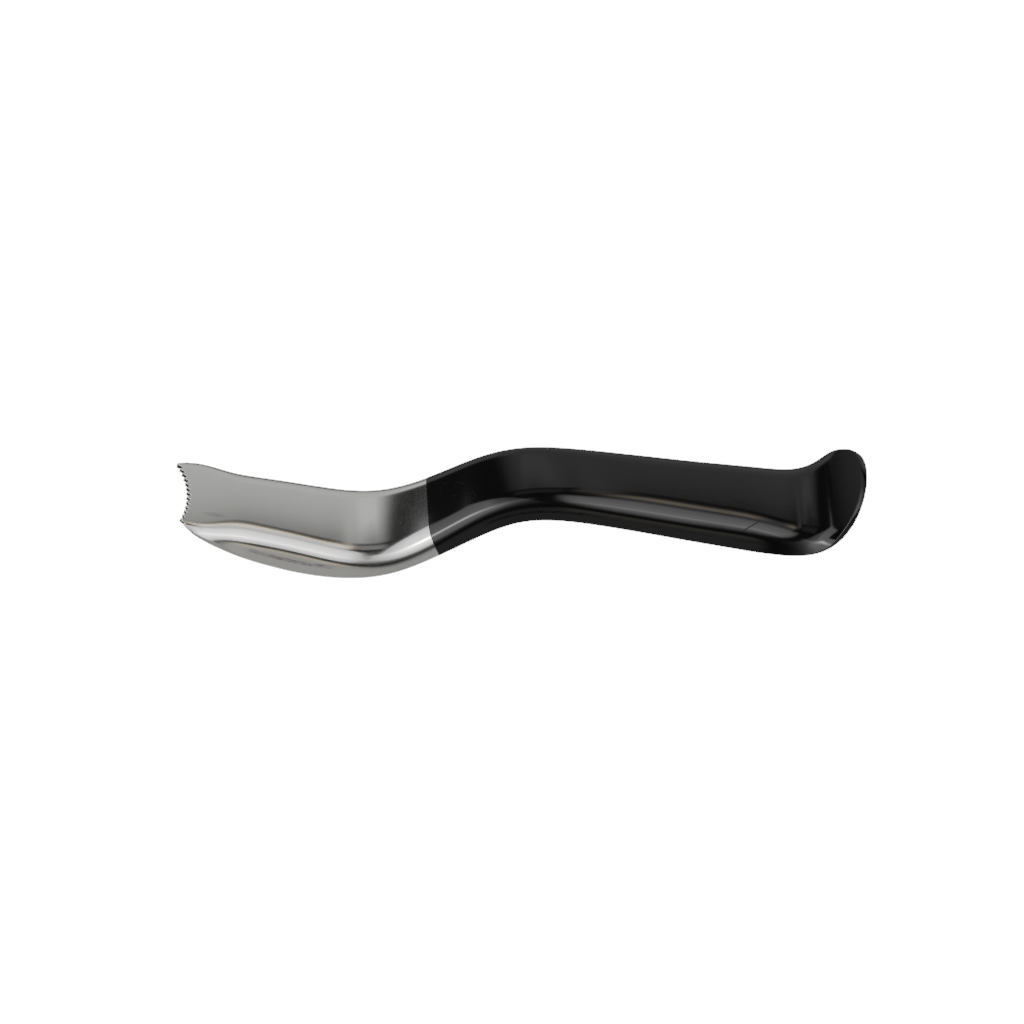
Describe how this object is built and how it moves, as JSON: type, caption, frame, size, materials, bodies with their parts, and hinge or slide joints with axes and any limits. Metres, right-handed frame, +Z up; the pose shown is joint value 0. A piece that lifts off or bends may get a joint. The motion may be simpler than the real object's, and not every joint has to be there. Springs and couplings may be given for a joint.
{
  "type": "cheek retractor",
  "caption": "Surgical cheek retractor pressed from stainless sheet: S-shaped gutter strip with a toothed hollowed blade end, and a coated handle ending in a curled rounded tongue.",
  "frame": {"origin": "middle of the bottom face of the bounding box, on the surface that the flange edges lie on", "axes": "+X along the length from the toothed blade to the tongue, +Y across the strip, +Z up, away from the surface and out of the convex face"},
  "size_m": [0.1492, 0.0278, 0.0172],
  "materials": {
    "black_coating": "smooth gloss black coating over the steel, from the coating line to the tongue",
    "satin_steel": "satin brushed stainless steel, on the bare blade between the teeth and the coating line"
  },
  "bodies": {
    "root": {"retractor_body": "black_coating"}
  },
  "joints": []
}
